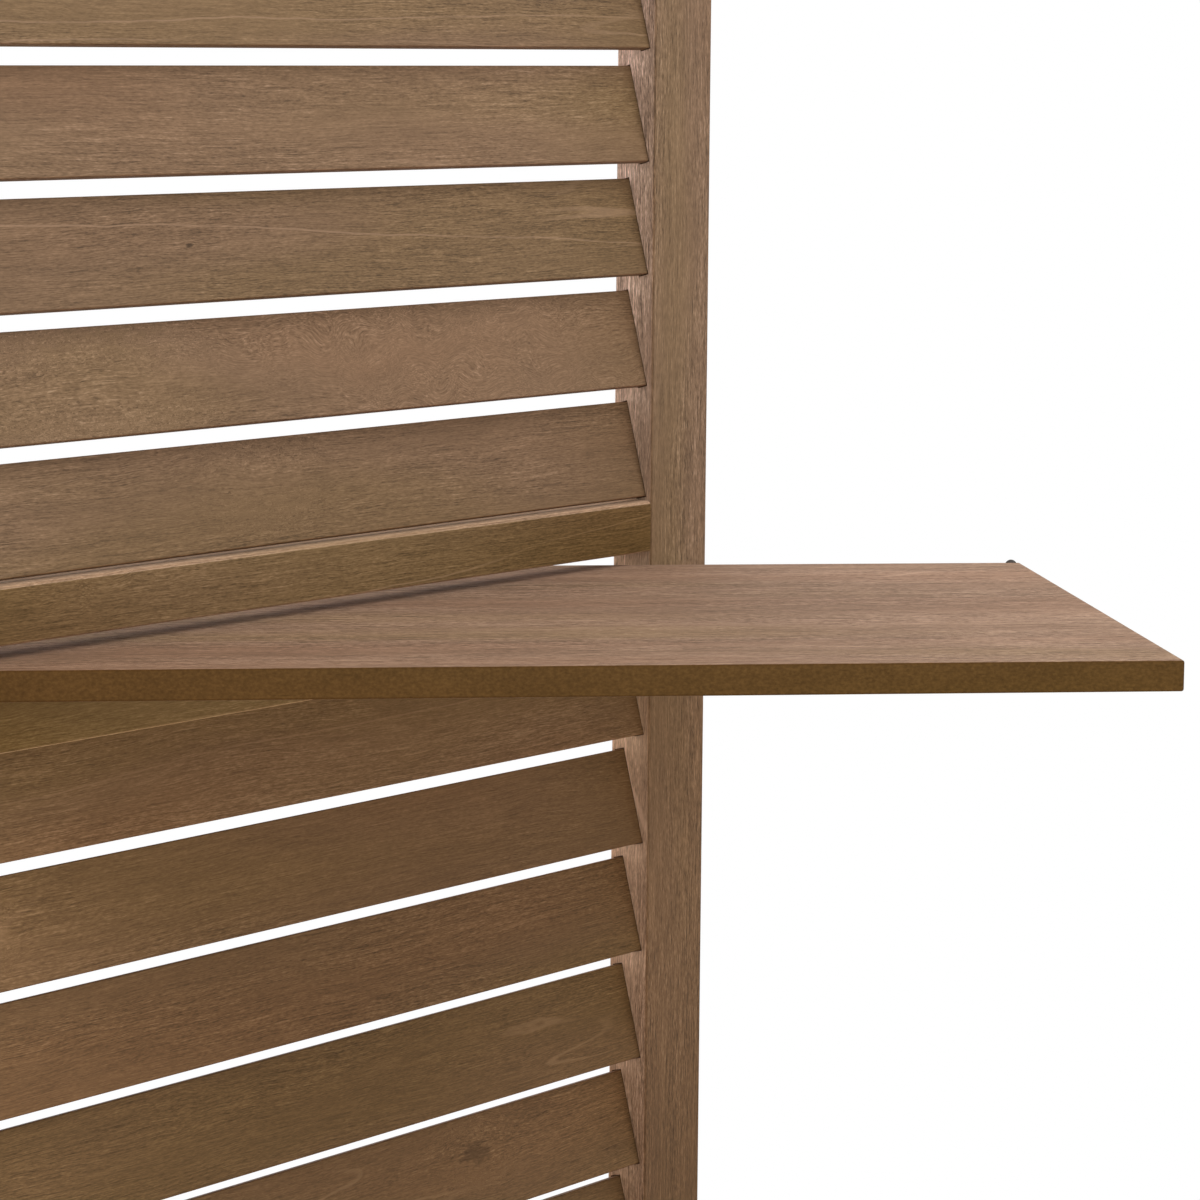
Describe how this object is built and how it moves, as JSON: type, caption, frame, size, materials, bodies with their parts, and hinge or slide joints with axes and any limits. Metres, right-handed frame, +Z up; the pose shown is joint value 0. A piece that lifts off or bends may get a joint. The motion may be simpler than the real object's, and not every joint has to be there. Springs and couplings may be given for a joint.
{
  "type": "folding screen with shelves",
  "caption": "Zigzag folding screen with louvred wooden panels joined by butt hinges and long shelf boards threaded through slots in the panels.",
  "frame": {"origin": "on the floor, below the middle of the middle panel and of the whole footprint", "axes": "+Z up, +X along the shelves, the louvred front of the screen faces -Y"},
  "size_m": [1.2242, 0.3266, 1.6768],
  "materials": {
    "stile_wood": "taupe-brown stain, satin, upright grain",
    "rail_wood": "olive-brown stain, satin, level grain",
    "shelf_wood": "light taupe stain, satin, grain along the board",
    "hinge_brass": "dull antique"
  },
  "bodies": {
    "left_panel": {"left_panel_louvred_stile": "stile_wood", "left_panel_mortised_stile": "stile_wood", "left_panel_bottom_rail": "rail_wood", "left_panel_slot_1_floor_rail": "rail_wood", "left_panel_slot_1_head_rail": "rail_wood", "left_panel_slot_2_floor_rail": "rail_wood", "left_panel_slot_2_head_rail": "rail_wood", "left_panel_slot_3_floor_rail": "rail_wood", "left_panel_slot_3_head_rail": "rail_wood", "left_panel_top_rail": "rail_wood", "left_hinge_low_outer_leaf": "hinge_brass", "left_hinge_middle_outer_leaf": "hinge_brass", "left_hinge_high_outer_leaf": "hinge_brass"},
    "middle_panel": {"middle_panel_louvred_stile": "stile_wood", "middle_panel_mortised_stile": "stile_wood", "middle_panel_bottom_rail": "rail_wood", "middle_panel_slot_1_floor_rail": "rail_wood", "middle_panel_slot_1_head_rail": "rail_wood", "middle_panel_slot_2_floor_rail": "rail_wood", "middle_panel_slot_2_head_rail": "rail_wood", "middle_panel_slot_3_floor_rail": "rail_wood", "middle_panel_slot_3_head_rail": "rail_wood", "middle_panel_top_rail": "rail_wood", "right_hinge_low_inner_leaf": "hinge_brass", "right_hinge_low_pin": "hinge_brass", "right_hinge_middle_inner_leaf": "hinge_brass", "right_hinge_middle_pin": "hinge_brass", "right_hinge_high_inner_leaf": "hinge_brass", "right_hinge_high_pin": "hinge_brass", "left_hinge_low_inner_leaf": "hinge_brass", "left_hinge_low_pin": "hinge_brass", "left_hinge_middle_inner_leaf": "hinge_brass", "left_hinge_middle_pin": "hinge_brass", "left_hinge_high_inner_leaf": "hinge_brass", "left_hinge_high_pin": "hinge_brass"},
    "right_panel": {"right_panel_louvred_stile": "stile_wood", "right_panel_mortised_stile": "stile_wood", "right_panel_bottom_rail": "rail_wood", "right_panel_slot_1_floor_rail": "rail_wood", "right_panel_slot_1_head_rail": "rail_wood", "right_panel_slot_2_floor_rail": "rail_wood", "right_panel_slot_2_head_rail": "rail_wood", "right_panel_slot_3_floor_rail": "rail_wood", "right_panel_slot_3_head_rail": "rail_wood", "right_panel_top_rail": "rail_wood", "right_hinge_low_outer_leaf": "hinge_brass", "right_hinge_middle_outer_leaf": "hinge_brass", "right_hinge_high_outer_leaf": "hinge_brass"},
    "middle_shelf": {"middle_shelf": "shelf_wood"},
    "lower_shelf": {"lower_shelf": "shelf_wood"},
    "upper_shelf": {"upper_shelf": "shelf_wood"}
  },
  "joints": [
    {"name": "right_fold", "type": "hinge", "parent": "middle_panel", "child": "right_panel", "pos_m": [0.16653, -0.15097, 0.838], "axis": [0, 0, 1], "range_deg": [-2, 90]},
    {"name": "left_fold", "type": "hinge", "parent": "middle_panel", "child": "left_panel", "pos_m": [-0.16653, 0.15097, 0.838], "axis": [0, 0, 1], "range_deg": [-2, 90]},
    {"name": "shelf_turn", "type": "hinge", "parent": "middle_panel", "child": "middle_shelf", "pos_m": [0, 0, 0.869], "axis": [0, 0, 1], "range_deg": [-1, 45]},
    {"name": "lower_shelf_draw", "type": "slide", "parent": "middle_shelf", "child": "lower_shelf", "axis": [1, 0, 0], "range_m": [-1.12, 1.12]},
    {"name": "upper_shelf_draw", "type": "slide", "parent": "middle_shelf", "child": "upper_shelf", "axis": [1, 0, 0], "range_m": [-1.12, 1.12]}
  ],
  "couplings": [
    {"joint": "left_fold", "follows": "right_fold", "ratio": 1},
    {"joint": "shelf_turn", "follows": "right_fold", "ratio": 0.5}
  ]
}
